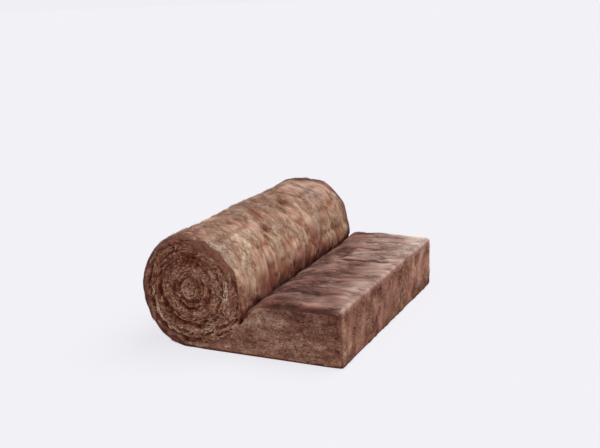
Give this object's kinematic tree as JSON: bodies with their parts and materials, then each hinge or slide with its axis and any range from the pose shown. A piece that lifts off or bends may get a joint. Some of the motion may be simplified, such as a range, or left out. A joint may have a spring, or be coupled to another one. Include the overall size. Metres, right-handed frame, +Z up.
{
  "type": "insulation roll",
  "caption": "Part-unrolled mineral wool blanket: a squeezed spiral roll with a thick sprung-back tail lying flat, for fitting between joists or rafters.",
  "frame": {"origin": "middle of the footprint's bounding box, on the floor that the blanket lies on", "axes": "+X from the roll towards the tail's cut end, +Y along the roll's axis, +Z up"},
  "size_m": [0.9902, 1.2, 0.5306],
  "materials": {
    "wool": "matte brown mineral wool, loose fibres, darker on the cut faces"
  },
  "bodies": {
    "root": {"wool_blanket": "wool"}
  },
  "joints": []
}
